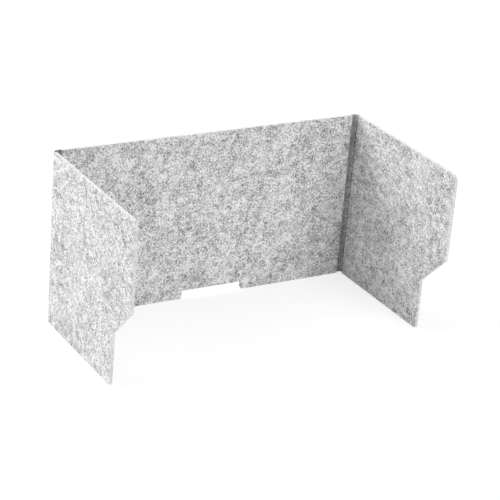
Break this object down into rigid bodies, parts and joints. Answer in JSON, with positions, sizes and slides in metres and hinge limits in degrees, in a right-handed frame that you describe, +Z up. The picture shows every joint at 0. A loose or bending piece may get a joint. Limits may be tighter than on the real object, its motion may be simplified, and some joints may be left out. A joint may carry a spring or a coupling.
{
  "type": "acoustic divider screen",
  "caption": "Free-standing acoustic desk divider of pressed felt: a back board with a cable notch and two wings that fold on felt hinges.",
  "frame": {"origin": "on the desk, under the middle of the standing screen's outer box", "axes": "+X to the right of a person at the desk, +Y away from that person to the back board, +Z up"},
  "size_m": [0.96, 0.509, 0.5],
  "materials": {
    "felt": "matte light grey marbled needle felt"
  },
  "bodies": {
    "back": {"back_panel": "felt", "left_fold": "felt", "right_fold": "felt"},
    "left_wing": {"left_wing": "felt"},
    "right_wing": {"right_wing": "felt"}
  },
  "joints": [
    {"name": "left_wing_fold", "type": "hinge", "parent": "back", "child": "left_wing", "pos_m": [-0.47075, 0.24525, 0.25], "axis": [0, 0, 1], "range_deg": [-90, 90], "deforming": ["left_fold"]},
    {"name": "right_wing_fold", "type": "hinge", "parent": "back", "child": "right_wing", "pos_m": [0.466, 0.2405, 0.25], "axis": [0, 0, -1], "range_deg": [-90, 90], "deforming": ["right_fold"]}
  ]
}
